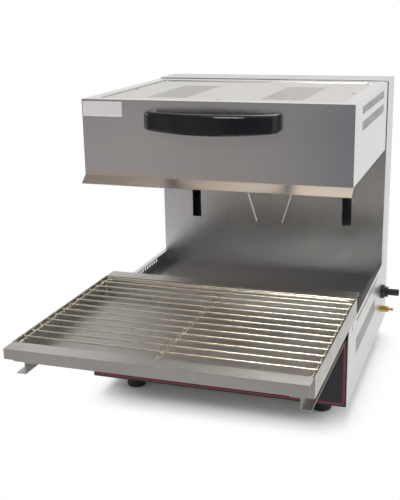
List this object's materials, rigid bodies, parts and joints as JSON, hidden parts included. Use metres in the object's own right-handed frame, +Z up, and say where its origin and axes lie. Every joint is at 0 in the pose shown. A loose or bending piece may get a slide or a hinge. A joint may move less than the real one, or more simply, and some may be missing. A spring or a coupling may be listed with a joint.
{
  "type": "cheese melter salamander",
  "caption": "Countertop electric salamander: heater head that rises and falls on a rear column, drawn-out drip tray with lift-out wire rack, knob, rocker switch and pilot lamps.",
  "frame": {"origin": "on the counter, at the centre of the base cabinet's footprint", "axes": "+X to the operator's right, -Y towards the operator (front), +Z up"},
  "size_m": [0.484, 0.737, 0.526],
  "materials": {
    "brushed_stainless": "brushed",
    "plated_sheet": "satin",
    "black_rubber": "matte",
    "zinc_steel": "satin",
    "black_enamel": "gloss",
    "crimson_enamel": "gloss",
    "bright_wire": "polished",
    "dark_plastic": "matte",
    "black_plastic": "satin",
    "pale_plastic": "matte",
    "green_lens": "gloss",
    "amber_lens": "gloss",
    "brass": "satin",
    "gloss_black": "gloss",
    "bright_sheet": "bright",
    "mineral_pad": "fibrous",
    "element_sheath": "heat-tinted",
    "cast_alloy": "as cast",
    "bronze_bush": "satin",
    "nickel_wire": "satin",
    "red_plastic": "gloss"
  },
  "bodies": {
    "cabinet": {"side_panel_right": "brushed_stainless", "side_panel_left": "brushed_stainless", "bottom_plate": "plated_sheet", "feet": "black_rubber", "foot_screws": "zinc_steel", "deck_plate": "brushed_stainless", "front_panel": "plated_sheet", "control_fascia": "black_enamel", "fascia_border": "crimson_enamel", "back_panel": "brushed_stainless", "rear_panel": "brushed_stainless", "column_cap": "brushed_stainless", "panel_rods": "bright_wire", "guide_rods": "bright_wire", "rod_brackets": "zinc_steel", "stop_collars": "zinc_steel", "spring_cylinders": "black_enamel", "spring_brackets": "zinc_steel", "energy_regulator": "dark_plastic", "switch_body": "black_plastic", "lamp_bezels": "black_plastic", "power_lamp": "green_lens", "heating_lamp": "amber_lens", "terminal_block": "pale_plastic", "supply_gland": "black_plastic", "gland_locknut": "black_plastic", "earth_stud": "brass", "earth_nuts": "brass"},
    "heater_head": {"head_shell": "brushed_stainless", "head_cover": "brushed_stainless", "cover_screws": "zinc_steel", "mount_plate": "zinc_steel", "handle": "gloss_black", "handle_screws": "zinc_steel", "reflector": "bright_sheet", "insulation_pad": "mineral_pad", "element_front": "element_sheath", "element_rear": "element_sheath", "element_hangers": "zinc_steel", "lift_arms": "zinc_steel", "arm_bolts": "zinc_steel", "lift_carriage": "zinc_steel", "guide_blocks": "cast_alloy", "guide_bushes": "bronze_bush", "spring_rods": "bright_wire", "spring_anchors": "zinc_steel"},
    "tray": {"drip_tray": "brushed_stainless", "runner_left": "brushed_stainless", "runner_right": "brushed_stainless"},
    "rack": {"rack_frame": "nickel_wire", "rack_wires": "nickel_wire", "rack_centre_rods": "nickel_wire"},
    "knob": {"control_knob": "gloss_black", "regulator_shaft": "zinc_steel"},
    "rocker": {"switch_rocker": "red_plastic"}
  },
  "joints": [
    {"name": "head_lift", "type": "slide", "parent": "cabinet", "child": "heater_head", "axis": [0, 0, 1], "range_m": [-0.15, 0]},
    {"name": "tray_slide", "type": "slide", "parent": "cabinet", "child": "tray", "axis": [0, 1, 0], "range_m": [0, 0.265]},
    {"name": "rack_lift", "type": "slide", "parent": "tray", "child": "rack", "axis": [0, 0, 1], "range_m": [0, 0.03]},
    {"name": "knob_turn", "type": "hinge", "parent": "cabinet", "child": "knob", "pos_m": [0.07, -0.2255, 0.098], "axis": [0, 1, 0], "range_deg": [0, 280]},
    {"name": "rocker_press", "type": "hinge", "parent": "cabinet", "child": "rocker", "pos_m": [-0.11, -0.224, 0.098], "axis": [-1, 0, 0], "range_deg": [0, 16]}
  ]
}
